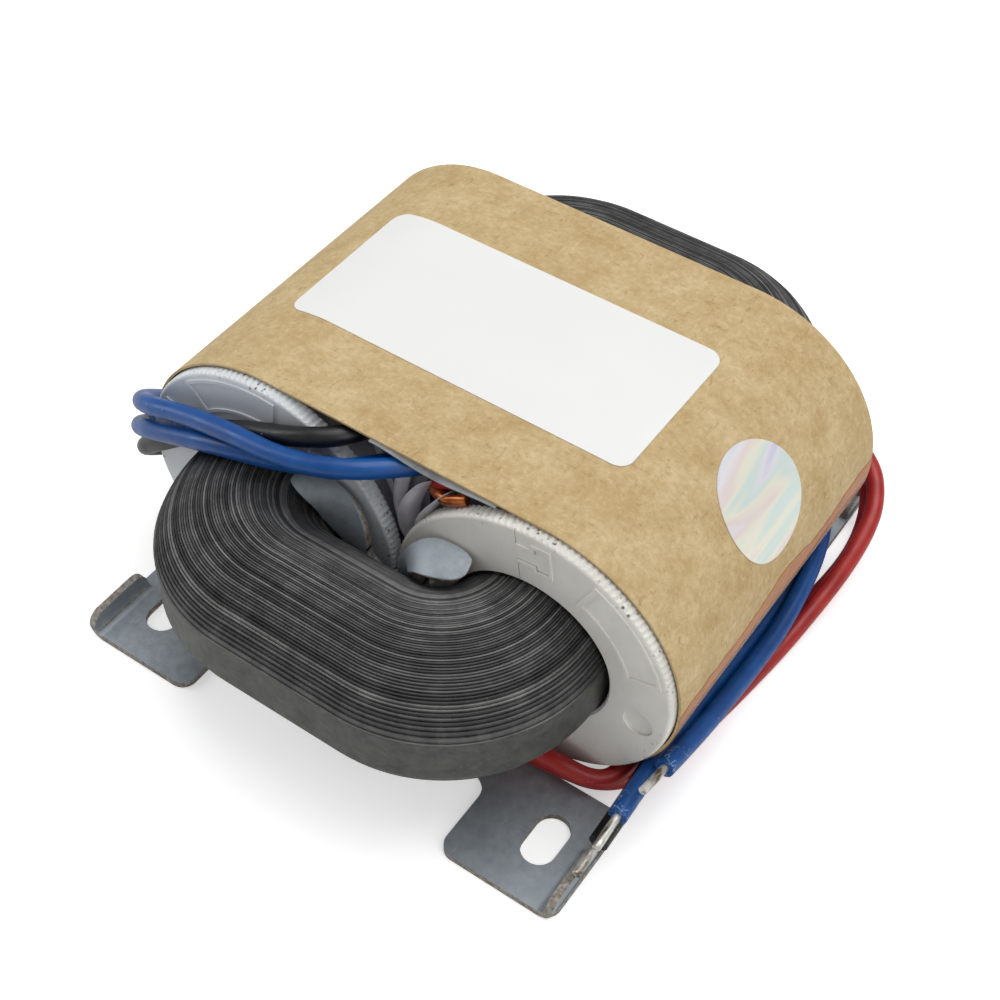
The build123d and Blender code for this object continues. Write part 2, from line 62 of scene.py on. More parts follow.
class Shader:
    """A material with a Principled shader and short calls for the usual nodes."""

    def __init__(self, name, roughness=0.5, metallic=0.0, specular=0.5):
        self.material = bpy.data.materials.new(name)
        self.material.use_nodes = True
        self.tree = self.material.node_tree
        self.bsdf = self.tree.nodes["Principled BSDF"]
        self.bsdf.inputs["Roughness"].default_value = roughness
        self.bsdf.inputs["Metallic"].default_value = metallic
        self.bsdf.inputs["Specular IOR Level"].default_value = specular
        self.coords = self.node("ShaderNodeTexCoord").outputs["Object"]

    def node(self, kind, **values):
        made = self.tree.nodes.new(kind)
        for key, value in values.items():
            setattr(made, key, value)
        return made

    def link(self, output, target):
        self.tree.links.new(output, target)

    def scaled(self, x, y, z):
        """Object coordinates stretched by a factor on each axis."""
        mapping = self.node("ShaderNodeMapping")
        mapping.inputs["Scale"].default_value = (x, y, z)
        self.link(self.coords, mapping.inputs["Vector"])
        return mapping.outputs["Vector"]

    def noise(self, scale, detail=3.0, rough=0.5, vector=None, distortion=0.0):
        made = self.node("ShaderNodeTexNoise")
        made.inputs["Scale"].default_value = scale
        made.inputs["Detail"].default_value = detail
        made.inputs["Roughness"].default_value = rough
        made.inputs["Distortion"].default_value = distortion
        self.link(vector or self.coords, made.inputs["Vector"])
        return made.outputs["Fac"]

    def cells(self, scale, feature="F1", vector=None, randomness=1.0):
        made = self.node("ShaderNodeTexVoronoi", feature=feature)
        made.inputs["Scale"].default_value = scale
        made.inputs["Randomness"].default_value = randomness
        self.link(vector or self.coords, made.inputs["Vector"])
        return made.outputs["Distance"]

    def attribute(self, name):
        return self.node("ShaderNodeAttribute", attribute_name=name).outputs["Fac"]

    def world_position(self):
        """The X, Y and Z of the shaded point in the world, in metres."""
        parts = self.node("ShaderNodeSeparateXYZ")
        self.link(self.node("ShaderNodeNewGeometry").outputs["Position"], parts.inputs["Vector"])
        return parts.outputs["X"], parts.outputs["Y"], parts.outputs["Z"]

    def fit(self, value, low, high, new_low=0.0, new_high=1.0):
        """Value mapped from one range to another, and clamped."""
        made = self.node("ShaderNodeMapRange")
        made.inputs["From Min"].default_value = low
        made.inputs["From Max"].default_value = high
        made.inputs["To Min"].default_value = new_low
        made.inputs["To Max"].default_value = new_high
        self.link(value, made.inputs["Value"])
        return made.outputs["Result"]

    def math(self, operation, first, second=0.0):
        """Result of a sum on one or two values, each a number or another node's output."""
        made = self.node("ShaderNodeMath", operation=operation)
        for socket, value in zip(made.inputs, (first, second)):
            if isinstance(value, (int, float)):
                socket.default_value = value
            else:
                self.link(value, socket)
        return made.outputs["Value"]

    def ramp(self, value, *stops):
        """Colour ramp through (position, colour) stops, from the lowest position up."""
        made = self.node("ShaderNodeValToRGB")
        elements = made.color_ramp.elements
        elements[0].position, elements[0].color = stops[0][0], (*stops[0][1], 1)
        elements[-1].position, elements[-1].color = stops[-1][0], (*stops[-1][1], 1)
        for position, colour in stops[1:-1]:
            elements.new(position).color = (*colour, 1)
        self.link(value, made.inputs["Fac"])
        return made.outputs["Color"]

    def mix(self, factor, first, second):
        """Mix of two colours, each a plain colour or another node's output."""
        made = self.node("ShaderNodeMix", data_type="RGBA")
        self.link(factor, made.inputs["Factor"])
        for socket, value in ((made.inputs[6], first), (made.inputs[7], second)):
            if isinstance(value, tuple):
                socket.default_value = (*value, 1)
            else:
                self.link(value, socket)
        return made.outputs[2]

    def colour(self, value):
        self.link(value, self.bsdf.inputs["Base Color"])

    def roughness(self, value):
        self.link(value, self.bsdf.inputs["Roughness"])

    def bump(self, height, distance, strength=1.0, normal=None):
        made = self.node("ShaderNodeBump")
        made.inputs["Strength"].default_value = strength
        made.inputs["Distance"].default_value = distance
        self.link(height, made.inputs["Height"])
        if normal is not None:
            self.link(normal, made.inputs["Normal"])
        self.link(made.outputs["Normal"], self.bsdf.inputs["Normal"])
        return made.outputs["Normal"]


def linear(r, g, b):
    """Scene-linear colour from the 0-255 values of a screen colour."""
    return tuple((c / 255) ** 2.2 for c in (r, g, b))


# ---------------------------------------------------------------- materials

def kraft_paper():
    s = Shader("kraft_paper", roughness=0.7, specular=0.3)
    cloud = s.noise(190, 4, 0.7)
    mottle = s.noise(1100, 4, 0.7)
    base = s.ramp(cloud, (0.34, linear(186, 159, 112)), (0.66, linear(207, 184, 141)))
    base = s.mix(s.fit(mottle, 0.45, 0.75, 0.0, 0.6), base, linear(172, 143, 98))
    base = s.mix(s.fit(mottle, 0.45, 0.28, 0.0, 0.4), base, linear(220, 198, 156))
    for stretch, scale in (((1, 0.2, 1), 1500), ((0.2, 1, 1), 1300), ((1, 1, 0.25), 1400)):
        fibre = s.noise(scale, 2, 0.5, s.scaled(*stretch), distortion=1.5)
        base = s.mix(s.fit(fibre, 0.64, 0.74, 0.0, 0.42), base, linear(150, 118, 76))
        base = s.mix(s.fit(fibre, 0.36, 0.26, 0.0, 0.22), base, linear(226, 206, 168))
    speck = s.cells(260, vector=s.scaled(1, 2.2, 1.4))
    base = s.mix(s.fit(speck, 0.08, 0.04, 0.0, 0.4), base, linear(104, 78, 50))
    s.colour(base)
    s.bump(mottle, 0.00005, 0.5)
    return s.material


def overlap_paper():
    """Second layer of paper, darker where the tape has soaked into it."""
    s = Shader("overlap_paper", roughness=0.4, specular=0.45)
    mottle = s.noise(500, 4, 0.65)
    base = s.ramp(mottle, (0.3, linear(148, 84, 36)), (0.7, linear(184, 118, 58)))
    s.colour(s.mix(s.fit(s.noise(90, 3), 0.4, 0.7), base, linear(174, 110, 54)))
    s.bump(mottle, 0.00005, 0.4)
    return s.material


def label_paper():
    s = Shader("label_paper", roughness=0.42, specular=0.4)
    s.colour(s.ramp(s.noise(60, 2), (0.3, linear(235, 235, 233)), (0.7, linear(238, 238, 236))))
    s.bump(s.noise(700, 2), 0.00002, 0.3)
    return s.material


def foil_sticker():
    """Pale foil with soft rainbow bands along the coil."""
    s = Shader("foil_sticker", roughness=0.34, metallic=0.15)
    sweep = s.noise(230, 2, 0.45, s.scaled(1, 0.14, 1), distortion=0.3)
    s.colour(s.ramp(
        sweep,
        (0.28, linear(198, 194, 230)),
        (0.36, linear(230, 228, 234)),
        (0.43, linear(212, 228, 222)),
        (0.48, linear(236, 234, 216)),
        (0.54, linear(234, 218, 216)),
        (0.6, linear(232, 232, 236)),
        (0.66, linear(200, 204, 232)),
        (0.72, linear(232, 232, 236)),
        (0.8, linear(206, 206, 234)),
    ))
    s.bsdf.inputs["Coat Weight"].default_value = 0.3
    return s.material


def clear_tape():
    s = Shader("clear_tape", roughness=0.25, specular=0.6)
    s.colour(s.ramp(s.noise(240, 3), (0.3, linear(196, 172, 138)), (0.7, linear(222, 204, 176))))
    s.bsdf.inputs["Alpha"].default_value = 0.3
    s.bsdf.inputs["Coat Weight"].default_value = 0.3
    return s.material


def core_steel():
    s = Shader("core_steel", roughness=0.42, metallic=0.5, specular=0.5)
    turn = s.attribute("turn_shade")
    streak = s.noise(300, 5, 0.7, s.scaled(1, 1, 0.4))
    dirt = s.noise(60, 4, 0.6)
    tone = s.math("ADD", s.math("MULTIPLY", turn, 0.4), s.math("MULTIPLY", streak, 0.6))
    base = s.ramp(
        tone,
        (0.22, linear(44, 44, 45)),
        (0.5, linear(82, 82, 82)),
        (0.78, linear(138, 137, 136)),
    )
    base = s.mix(s.fit(dirt, 0.45, 0.75, 0.0, 0.6), base, linear(66, 66, 66))
    band_tone = s.ramp(s.noise(520, 4, 0.7), (0.3, linear(66, 67, 64)), (0.7, linear(90, 90, 84)))
    band_dirt = s.fit(s.noise(220, 5, 0.75, s.scaled(1, 1, 2.2)), 0.58, 0.7, 0.0, 0.7)
    base = s.mix(s.attribute("flat_band"), base, s.mix(band_dirt, band_tone, linear(48, 48, 47)))
    for spread, shade in ((620, linear(160, 156, 148)), (410, linear(136, 118, 96))):
        base = s.mix(s.fit(s.cells(spread), 0.06, 0.03, 0.0, 0.4), base, shade)
    s.colour(base)
    s.roughness(s.fit(streak, 0.2, 0.8, 0.36, 0.55))
    s.bump(streak, 0.00005, 0.4)
    return s.material


def zinc_steel():
    s = Shader("zinc_steel", roughness=0.5, metallic=0.45)
    mottle = s.noise(700, 5, 0.7)
    base = s.ramp(mottle, (0.3, linear(139, 147, 154)), (0.7, linear(171, 178, 184)))
    base = s.mix(s.fit(s.noise(60, 3), 0.35, 0.75, 0.0, 0.7), base, linear(142, 150, 157))
    scratch = s.noise(420, 3, 0.6, s.scaled(1, 0.15, 1), distortion=0.6)
    base = s.mix(s.fit(scratch, 0.68, 0.72, 0.0, 0.6), base, linear(205, 210, 214))
    s.colour(base)
    s.roughness(s.fit(mottle, 0.2, 0.8, 0.42, 0.58))
    s.bump(mottle, 0.00005, 0.5)
    return s.material


def sheared_steel():
    """Torn, unplated edge of the sheet."""
    s = Shader("sheared_steel", roughness=0.65, metallic=0.3)
    grit = s.noise(1300, 4, 0.75)
    base = s.ramp(grit, (0.35, linear(104, 94, 84)), (0.65, linear(178, 172, 164)))
    s.colour(base)
    s.bump(grit, 0.0002, 0.8)
    return s.material


def nylon(name, light, dark):
    """Moulded nylon, clean in the middle and with brown grime caught in the teeth of the rim."""
    s = Shader(name, roughness=0.45, specular=0.4)
    s.bsdf.inputs["Subsurface Weight"].default_value = 0.08
    s.bsdf.inputs["Subsurface Radius"].default_value = (0.002, 0.002, 0.002)
    base = s.ramp(s.noise(180, 3), (0.3, dark), (0.7, light))
    x, _, z = s.world_position()
    across = s.math("SUBTRACT", s.math("ABSOLUTE", x), leg_x * MM)
    above = s.math("SUBTRACT", z, axis_z * MM)
    squares = s.math("ADD", s.math("MULTIPLY", across, across), s.math("MULTIPLY", above, above))
    radius = s.math("SQRT", squares)
    rim = s.fit(radius, (flange_radius - 1.3) * MM, (flange_radius - 0.2) * MM, 0.08, 1.0)
    spots = s.math("MULTIPLY", s.fit(s.cells(1100), 0.3, 0.14), s.fit(s.noise(260, 4), 0.47, 0.6))
    s.colour(s.mix(s.math("MULTIPLY", spots, rim), base, linear(104, 82, 60)))
    s.bump(s.noise(1400, 2), 0.00003, 0.3)
    return s.material


def near_stripped_ends(s):
    """Mask that is 1 on the last few millimetres of the two blue leads, at the front right."""
    x, y, z = s.world_position()
    right = s.fit(x, 30 * MM, 32 * MM)
    lower_end = s.fit(y, -26.8 * MM, -28.2 * MM)
    upper_end = s.fit(y, -18.8 * MM, -20.6 * MM)
    upper_end = s.math("MULTIPLY", upper_end, s.fit(z, 9.1 * MM, 9.4 * MM))
    return s.math("MULTIPLY", right, s.math("MAXIMUM", lower_end, upper_end))


def wire_insulation(name, light, dark, crazed=False):
    """Smooth PVC with a few small pale spots painted on as glints of light, and pale cracks by the ends
    that were gripped to strip them.
    """
    s = Shader(name, roughness=0.36, specular=0.5)
    base = s.ramp(s.noise(240, 3), (0.3, dark), (0.7, light))
    # Painted highlight: small pale bluish spots mixed into the colour as glints of light on the satin
    # insulation.
    painted_glint = s.math("MULTIPLY", s.fit(s.cells(900), 0.12, 0.05), s.fit(s.noise(120, 3), 0.55, 0.65))
    base = s.mix(painted_glint, base, linear(120, 150, 190))
    if crazed:
        cracks = s.fit(s.cells(1500, "DISTANCE_TO_EDGE", s.scaled(1, 0.6, 1)), 0.08, 0.02, 0.0, 0.8)
        patches = s.fit(s.noise(620, 4, 0.7), 0.46, 0.58)
        cracks = s.math("MULTIPLY", s.math("MULTIPLY", cracks, patches), near_stripped_ends(s))
        base = s.mix(cracks, base, linear(168, 190, 216))
    s.colour(base)
    s.roughness(s.fit(s.noise(500, 3), 0.3, 0.7, 0.3, 0.46))
    s.bump(s.noise(900, 2), 0.00003, 0.4)
    return s.material


def tinned_strands():
    s = Shader("tinned_strands", roughness=0.4, metallic=0.6)
    grain = s.noise(900, 3, 0.6, s.scaled(1, 0.25, 1), distortion=0.8)
    s.colour(s.ramp(grain, (0.38, linear(112, 100, 86)), (0.58, linear(232, 230, 224))))
    s.bump(grain, 0.0003, 0.8)
    return s.material


def grey_card():
    s = Shader("grey_card", roughness=0.7)
    s.colour(s.ramp(s.noise(300, 4), (0.3, linear(132, 134, 136)), (0.7, linear(182, 184, 186))))
    s.bump(s.noise(700, 3), 0.00005, 0.4)
    return s.material


def copper_wire():
    s = Shader("copper_wire", roughness=0.3, metallic=0.8)
    s.colour(s.ramp(s.noise(600, 3), (0.3, linear(126, 62, 34)), (0.7, linear(206, 122, 70))))
    s.bump(s.noise(500, 2), 0.00005, 0.4)
    return s.material


def polyester_film():
    s = Shader("polyester_film", roughness=0.3)
    s.colour(s.ramp(s.noise(160, 3), (0.3, linear(172, 170, 180)), (0.7, linear(222, 219, 224))))
    s.bump(s.noise(260, 3), 0.0003, 0.5)
    return s.material


materials = {
    "kraft": kraft_paper(),
    "overlap": overlap_paper(),
    "label": label_paper(),
    "sticker": foil_sticker(),
    "tape": clear_tape(),
    "core": core_steel(),
    "zinc": zinc_steel(),
    "sheared": sheared_steel(),
    "cool_nylon": nylon("cool_nylon", linear(222, 226, 229), linear(208, 213, 217)),
    "warm_nylon": nylon("warm_nylon", linear(232, 230, 224), linear(220, 218, 211)),
    "blue": wire_insulation("blue_insulation", linear(10, 82, 152), linear(6, 64, 128), crazed=True),
    "black": wire_insulation("black_insulation", linear(28, 28, 30), linear(17, 17, 19)),
    "red": wire_insulation("red_insulation", linear(176, 46, 42), linear(150, 32, 30)),
    "tin": tinned_strands(),
    "card": grey_card(),
    "copper": copper_wire(),
    "film": polyester_film(),
}


sharp_angle = 40            # degrees


def paint(target, key):
    target.data.materials.clear()
    target.data.materials.append(materials[key])


def add_mesh(name, vertices, faces, key, smooth=True):
    """A mesh piece of the object, from points in millimetres."""
    mesh = bpy.data.meshes.new(name)
    mesh.from_pydata([(x * MM, y * MM, z * MM) for x, y, z in vertices], [], faces)
    mesh.validate()
    piece = bpy.data.objects.new(name, mesh)
    bpy.context.scene.collection.objects.link(piece)
    paint(piece, key)
    if smooth:
        mesh.polygons.foreach_set("use_smooth", [True] * len(mesh.polygons))
    return piece


def split_sharp_edges(piece):
    """Keep the smooth shading from running over sharp edges."""
    split = piece.modifiers.new("edges", "EDGE_SPLIT")
    split.split_angle = radians(sharp_angle)


# ---------------------------------------------------------------- wound core

turn_count = 72
corner_steps = 26
straight_steps = 10
groove_depth = 0.16
groove_share = 0.22         # of a turn's width, on its inner side
land_end_share = 0.82       # where the next groove's slope starts
turn_lift = 0.03            # most that a turn stands above or below its place
ripple_height = 0.05
least_half_height = 2.6     # half the strip width of the outermost turns


def corner_radius(offset):
    share = (offset + core_half_build) / (2 * core_half_build)
    return core_inner_corner + share * (core_outer_corner - core_inner_corner)


def ring_point(offset, corner, share):
    """Point of a turn: corner 0 to 3, and share 0 to 1 round it, then on to the next corner."""
    radius = corner_radius(offset)
    centre_x = leg_x + offset - radius
    centre_y = yoke_y + offset - radius
    sign_x = (1, -1, -1, 1)[corner]
    sign_y = (1, 1, -1, -1)[corner]
    angle = pi / 2 * (corner + share)
    return (sign_x * centre_x + radius * cos(angle), sign_y * centre_y + radius * sin(angle))


def ring_columns(offset):
    """Plan points all the way round one turn."""
    points = []
    for corner in range(4):
        for step in range(corner_steps):
            points.append(ring_point(offset, corner, step / (corner_steps - 1)))
        start = Vector(points[-1])
        end = Vector(ring_point(offset, (corner + 1) % 4, 0))
        for step in range(1, straight_steps):
            points.append(tuple(start.lerp(end, step / straight_steps)))
    return points


def core_profile():
    """Section of the winding: (offset, height, turn index) down one side and back up the other."""
    pitch = 2 * core_half_build / turn_count
    top = []
    for turn in range(turn_count):
        start = -core_half_build + turn * pitch
        height = sqrt(core_radius**2 - max(abs(start), abs(start + pitch)) ** 2)
        lift = random.uniform(-turn_lift, turn_lift)
        height = max(height + lift, least_half_height)
        top.append((start, height - groove_depth, turn))
        top.append((start + pitch * groove_share, height, turn))
        top.append((start + pitch * land_end_share, height, turn))
    top.append((core_half_build, sqrt(core_radius**2 - core_half_build**2), turn_count))
    bottom = [(offset, -height, turn) for offset, height, turn in reversed(top)]
    return top + bottom


def wound_core():
    random.seed(40)
    profile = core_profile()
    rows = [ring_columns(offset) for offset, _, _ in profile]
    columns = len(rows[0])
    vertices = []
    for row, (_, height, turn) in zip(rows, profile):
        for x, y in row:
            ripple = ripple_height * noise.noise(Vector((x * 0.12, y * 0.12, turn * 0.7)))
            vertices.append((x, y, axis_z + height + (ripple if height > 0 else -ripple)))
    faces = []
    count = len(profile)
    for row in range(count):
        following = (row + 1) % count
        for column in range(columns):
            across = (column + 1) % columns
            faces.append((
                row * columns + column,
                row * columns + across,
                following * columns + across,
                following * columns + column,
            ))
    piece = add_mesh("wound_strip_core", vertices, faces, "core", smooth=False)
    shades = [random.random() for _ in range(turn_count + 1)]
    shade = piece.data.attributes.new("turn_shade", "FLOAT", "POINT")
    band = piece.data.attributes.new("flat_band", "FLOAT", "POINT")
    shade_values = []
    band_values = []
    for offset, _, turn in profile:
        shade_values += [shades[turn]] * columns
        band_values += [1.0 if offset > core_half_build - 0.01 else 0.0] * columns
    shade.data.foreach_set("value", shade_values)
    band.data.foreach_set("value", band_values)
    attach(piece, "root")
    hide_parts("wound_core")
    return piece


# ---------------------------------------------------------------- paper sleeve and what lies on it

sleeve_arc_steps = 64
sleeve_flat_steps = 16      # along half of a flat side
sleeve_length_steps = 30

# The label's left, front, right and rear edges, by distance along the sleeve and by Y.
label_edges = (-26.4, -10.2, 22.4, 12.9)
label_corner = 2.0
label_thickness = 0.1
sticker_radius = 7.4
sticker_angle = 38.9        # above the coil's outer side
sticker_centre_y = 1.5
sticker_sides = 72
glue_line = 0.02
label_cuts = 60             # cuts across a patch, so that it can follow the curve
small_patch_cuts = 24

# Upper and lower edge of each strip on the right-hand side, as angles round the coil.
overlap_angles = (3, -44)
tape_angles = (-5, -62)
overlap_wander = 6.0        # of the strip's upper edge, in degrees
tape_wander = 3.0
overlap_lift = 0.01         # above the paper
tape_lift = 0.07
strip_thickness = 0.05
strip_steps = 60
slow_wave = 0.09            # noise lengths per millimetre along a strip's upper edge
fast_wave = 0.6
fast_share = 0.15           # of the wander


def sleeve_walk(radius):
    """Points (x, z) round the stadium, from the middle of the top clockwise."""
    points = []
    steps = sleeve_flat_steps
    for step in range(steps + 1):
        points.append((leg_x * step / steps, radius))
    for step in range(1, sleeve_arc_steps + 1):
        angle = pi / 2 - pi * step / sleeve_arc_steps
        points.append((leg_x + radius * cos(angle), radius * sin(angle)))
    for step in range(1, 2 * steps + 1):
        points.append((leg_x - leg_x * step / steps, -radius))
    for step in range(1, sleeve_arc_steps + 1):
        angle = -pi / 2 - pi * step / sleeve_arc_steps
        points.append((-leg_x + radius * cos(angle), radius * sin(angle)))
    for step in range(1, steps):
        points.append((-leg_x + leg_x * step / steps, radius))
    return points


def paper_sleeve():
    """Open shell of paper, with two skins and closed ends."""
    outer = sleeve_walk(paper_outer)
    inner = sleeve_walk(paper_inner)
    count = len(outer)
    vertices = []
    for walk in (outer, inner):
        for row in range(sleeve_length_steps + 1):
            y = paper_front + (paper_back - paper_front) * row / sleeve_length_steps
            vertices += [(x, y, axis_z + z) for x, z in walk]
    layer = count * (sleeve_length_steps + 1)
    faces = []
    for row in range(sleeve_length_steps):
        for column in range(count):
            across = (column + 1) % count
            a, b = row * count + column, row * count + across
            c, d = b + count, a + count
            faces.append((a, d, c, b))
            faces.append((layer + a, layer + b, layer + c, layer + d))
    last = sleeve_length_steps * count
    for column in range(count):
        across = (column + 1) % count
        faces.append((column, across, layer + across, layer + column))
        faces.append((last + across, last + column, layer + last + column, layer + last + across))
    piece = add_mesh("paper_sleeve", vertices, faces, "kraft")
    split_sharp_edges(piece)
    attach(piece, "root")
    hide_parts("kraft_paper_wrap")
    return piece


def on_sleeve(distance, y, lift):
    """Point on the sleeve: distance along it from the middle of the top, towards +X."""
    radius = paper_outer + lift
    side = 1 if distance >= 0 else -1
    along = abs(distance)
    if along <= leg_x:
        return (distance, y, axis_z + radius)
    angle = pi / 2 - (along - leg_x) / paper_outer
    return (side * (leg_x + radius * cos(angle)), y, axis_z + radius * sin(angle))


def patch(name, outline, steps, base_lift, thickness, key):
    """Thin sheet on the sleeve, from a closed outline of (distance, y) points."""
    mesh = bpy.data.meshes.new(name)
    build = bmesh.new()
    corners = [build.verts.new((distance, y, 0)) for distance, y in outline]
    build.faces.new(corners)
    low = min(p[0] for p in outline)
    high = max(p[0] for p in outline)
    for step in range(1, steps):
        cut = low + (high - low) * step / steps
        bmesh.ops.bisect_plane(
            build,
            geom=build.verts[:] + build.edges[:] + build.faces[:],
            plane_co=(cut, 0, 0),
            plane_no=(1, 0, 0),
        )
    top = build.faces[:]
    made = bmesh.ops.extrude_face_region(build, geom=top)
    raised = {v for v in made["geom"] if isinstance(v, bmesh.types.BMVert)}
    for vertex in build.verts:
        lift = base_lift + (thickness if vertex in raised else 0)
        vertex.co = Vector(on_sleeve(vertex.co.x, vertex.co.y, lift)) * MM
    bmesh.ops.recalc_face_normals(build, faces=build.faces[:])
    build.to_mesh(mesh)
    build.free()
    piece = bpy.data.objects.new(name, mesh)
    bpy.context.scene.collection.objects.link(piece)
    paint(piece, key)
    mesh.polygons.foreach_set("use_smooth", [True] * len(mesh.polygons))
    split_sharp_edges(piece)
    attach(piece, "root")
    return piece


def rounded_outline(x0, y0, x1, y1, radius, steps=10):
    points = []
    for centre_x, centre_y, start in (
        (x1 - radius, y1 - radius, 0),
        (x0 + radius, y1 - radius, 90),
        (x0 + radius, y0 + radius, 180),
        (x1 - radius, y0 + radius, 270),
    ):
        for step in range(steps + 1):
            angle = radians(start + 90 * step / steps)
            points.append((centre_x + radius * cos(angle), centre_y + radius * sin(angle)))
    return points


def rating_label():
    outline = rounded_outline(*label_edges, label_corner)
    piece = patch("blank_label", outline, label_cuts, glue_line, label_thickness, "label")
    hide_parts("rating_label")


def inspection_sticker():
    middle = right_side(sticker_angle)
    outline = []
    for step in range(sticker_sides):
        angle = 2 * pi * step / sticker_sides
        y = sticker_centre_y + sticker_radius * sin(angle)
        outline.append((middle + sticker_radius * cos(angle), y))
    cuts = small_patch_cuts
    piece = patch("round_sticker", outline, cuts, glue_line, label_thickness, "sticker")
    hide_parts("inspection_sticker")


def right_side(angle):
    """Distance along the sleeve to an angle round the right-hand coil, 0 at its outer side."""
    return leg_x + radians(90 - angle) * paper_outer


def ragged_strip(name, angles, wander, base_lift, key):
    """Strip along the right-hand side of the sleeve, with an uneven upper edge of its own."""
    upper_angle, lower_angle = angles
    outline = []
    for step in range(strip_steps + 1):
        y = paper_front + (paper_back - paper_front) * step / strip_steps
        drift = wander * noise.noise(Vector((y * slow_wave, base_lift * 40, 3.0)))
        drift += fast_share * wander * noise.noise(Vector((y * fast_wave, 5.0, base_lift * 40)))
        outline.append((right_side(upper_angle + drift), y))
    lower = right_side(lower_angle)
    outline += [(lower, paper_back), (lower, paper_front)]
    return patch(name, outline, small_patch_cuts, base_lift, strip_thickness, key)


def seam_tape():
    flap = ragged_strip("paper_overlap", overlap_angles, overlap_wander, overlap_lift, "overlap")
    tape = ragged_strip("seam_tape_strip", tape_angles, tape_wander, tape_lift, "tape")
    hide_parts("seam_tape")


# ---------------------------------------------------------------- between the two front flanges

film_thickness = 0.08
film_crumple = 0.35
film_bow = 0.3              # of the strip's width


def ribbon(name, points, width, twist, key):
    """Thin curved strip along points, its width leaning by a twist that grows along it."""
    vertices = []
    last = len(points) - 1
    for index, point in enumerate(points):
        angle = radians(twist[0] + (twist[1] - twist[0]) * index / last)
        half_width = width / 2 * (0.75 + 0.25 * sin(pi * (index + 1) / (last + 2)))
        reach = Vector((cos(angle), sin(angle), 0)) * half_width
        for side in (-1, 0, 1):
            crumple = film_crumple * noise.noise_vector(Vector((index * 0.9, side * 1.3, width * 7)))
            bow = Vector((0, -film_bow * width * (1 - side * side), 0)) + crumple
            vertices.append(tuple(Vector(point) + reach * side + bow))
    faces = []
    for index in range(last):
        for side in (0, 1):
            first = index * 3 + side
            faces.append((first, first + 1, first + 4, first + 3))
    piece = add_mesh(name, vertices, faces, key)
    solid = piece.modifiers.new("thickness", "SOLIDIFY")
    solid.thickness = film_thickness * MM
    smooth = piece.modifiers.new("smooth", "SUBSURF")
    smooth.levels = smooth.render_levels = 2
    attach(piece, "root")
    return piece


def round_wire(name, points, radius, key, bevel_steps=6, curve_steps=12):
    """Smooth round wire along control points, with closed ends."""
    curve = bpy.data.curves.new(name, "CURVE")
    curve.dimensions = "3D"
    curve.bevel_depth = radius * MM
    curve.bevel_resolution = bevel_steps
    curve.resolution_u = curve_steps
    curve.use_fill_caps = True
    spline = curve.splines.new("NURBS")
    spline.points.add(len(points) - 1)
    for control, point in zip(spline.points, points):
        control.co = (*(Vector(point) * MM), 1)
    spline.order_u = 3
    spline.use_endpoint_u = True
    piece = bpy.data.objects.new(name, curve)
    bpy.context.scene.collection.objects.link(piece)
    curve.materials.append(materials[key])
    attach(piece, "root")
    return piece


def valley_insulation():
    """Loose film strips and the wire joints between the coils, just behind the front flanges."""
    strips = (
        ([(1.0, -21.0, 23), (0.6, -22.0, 28), (1.4, -22.6, 33), (4.0, -22.4, 37.8)], 2.8, (15, 50)),
        ([(-0.4, -20.0, 22), (-1.0, -21.4, 27), (-0.8, -22.0, 32), (0.6, -21.8, 37.6)], 2.6, (-35, 5)),
        ([(2.2, -20.4, 25), (3.2, -21.6, 30), (5.0, -22.2, 34.4), (7.4, -21.6, 37.8)], 3.4, (45, 75)),
        ([(-1.8, -18.4, 23), (-2.8, -19.4, 28), (-4.0, -20.0, 32.4), (-5.4, -19.8, 36.4)], 3.4, (-60, -20)),
        ([(0.6, -18.6, 25), (0.4, -19.6, 30), (0.6, -20.2, 34), (1.6, -20.0, 38.4)], 3.6, (-5, 20)),
    )
    for number, (points, width, twist) in enumerate(strips, 1):
        ribbon(f"film_flap_{number}", points, width, twist, "film")
    joint = [(4.4, -21.6, 35.6), (5.8, -22.4, 35.9), (7.2, -22.6, 36.3), (9.2, -22.0, 37.2)]
    round_wire("copper_joint", joint, 0.75, "copper")
    sleeve = [(3.2, -20.6, 34.6), (4.6, -21.4, 36.6), (6.6, -21.4, 37.9), (9.0, -20.6, 38.2)]
    round_wire("red_joint_sleeve", sleeve, 0.8, "red")


card_left = -4.0
card_right = 13.5
card_front = paper_front - 0.3
card_back = paper_back - 1.0
card_sag = 0.8
card_columns = 24


def insulation_card():
    """Narrow card under the front edge of the paper, sagging a little between the coils."""
    front, back = card_front, card_back
    vertices = []
    for column in range(card_columns + 1):
        share = column / card_columns
        x = card_left + (card_right - card_left) * share
        sag = card_sag * sin(pi * share) ** 2
        for y, fall in ((front, sag), (front + 2.5, 0.35 * sag), (front + 6, 0), (back, 0)):
            vertices.append((x, y, axis_z + paper_inner - 0.1 - fall))
    faces = []
    for column in range(card_columns):
        for row in range(3):
            first = column * 4 + row
            faces.append((first, first + 4, first + 5, first + 1))
    piece = add_mesh("sagging_card", vertices, faces, "card")
    solid = piece.modifiers.new("thickness", "SOLIDIFY")
    solid.thickness = 0.2 * MM
    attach(piece, "root")
    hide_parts("top_insulation_card")


# ---------------------------------------------------------------- leads

def lead(name, key):
    """The insulated wire of one lead, and the CAD node of its stripped end."""
    piece = round_wire(name + "_wire", lead_routes[name], wire_diameter / 2, key, 8, 16)
    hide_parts(name)
    strands = nodes[name + "_strands"]
    paint(strands, "tin")
    return piece, strands


